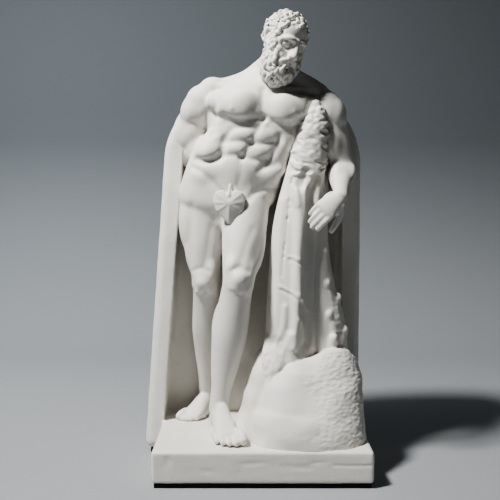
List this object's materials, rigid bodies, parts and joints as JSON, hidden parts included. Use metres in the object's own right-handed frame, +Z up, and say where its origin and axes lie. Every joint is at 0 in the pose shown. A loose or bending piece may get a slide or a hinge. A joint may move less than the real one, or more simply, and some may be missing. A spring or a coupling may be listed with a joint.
{
  "type": "plaster statuette of a standing bearded man",
  "caption": "Cast plaster statuette: a standing bearded man leaning on a draped tree stump by a rock, on an oblong plinth before a round-topped slab, with a thin base pad.",
  "frame": {"origin": "middle of the plinth, at the underside of the base pad", "axes": "+X to the viewer's right, -Y towards the front of the figure, +Z up"},
  "size_m": [0.1492, 0.101, 0.2996],
  "materials": {
    "plaster": "matt white plaster",
    "pad": "matt black"
  },
  "bodies": {
    "root": {"statuette": "plaster", "base_pad": "pad"}
  },
  "joints": []
}
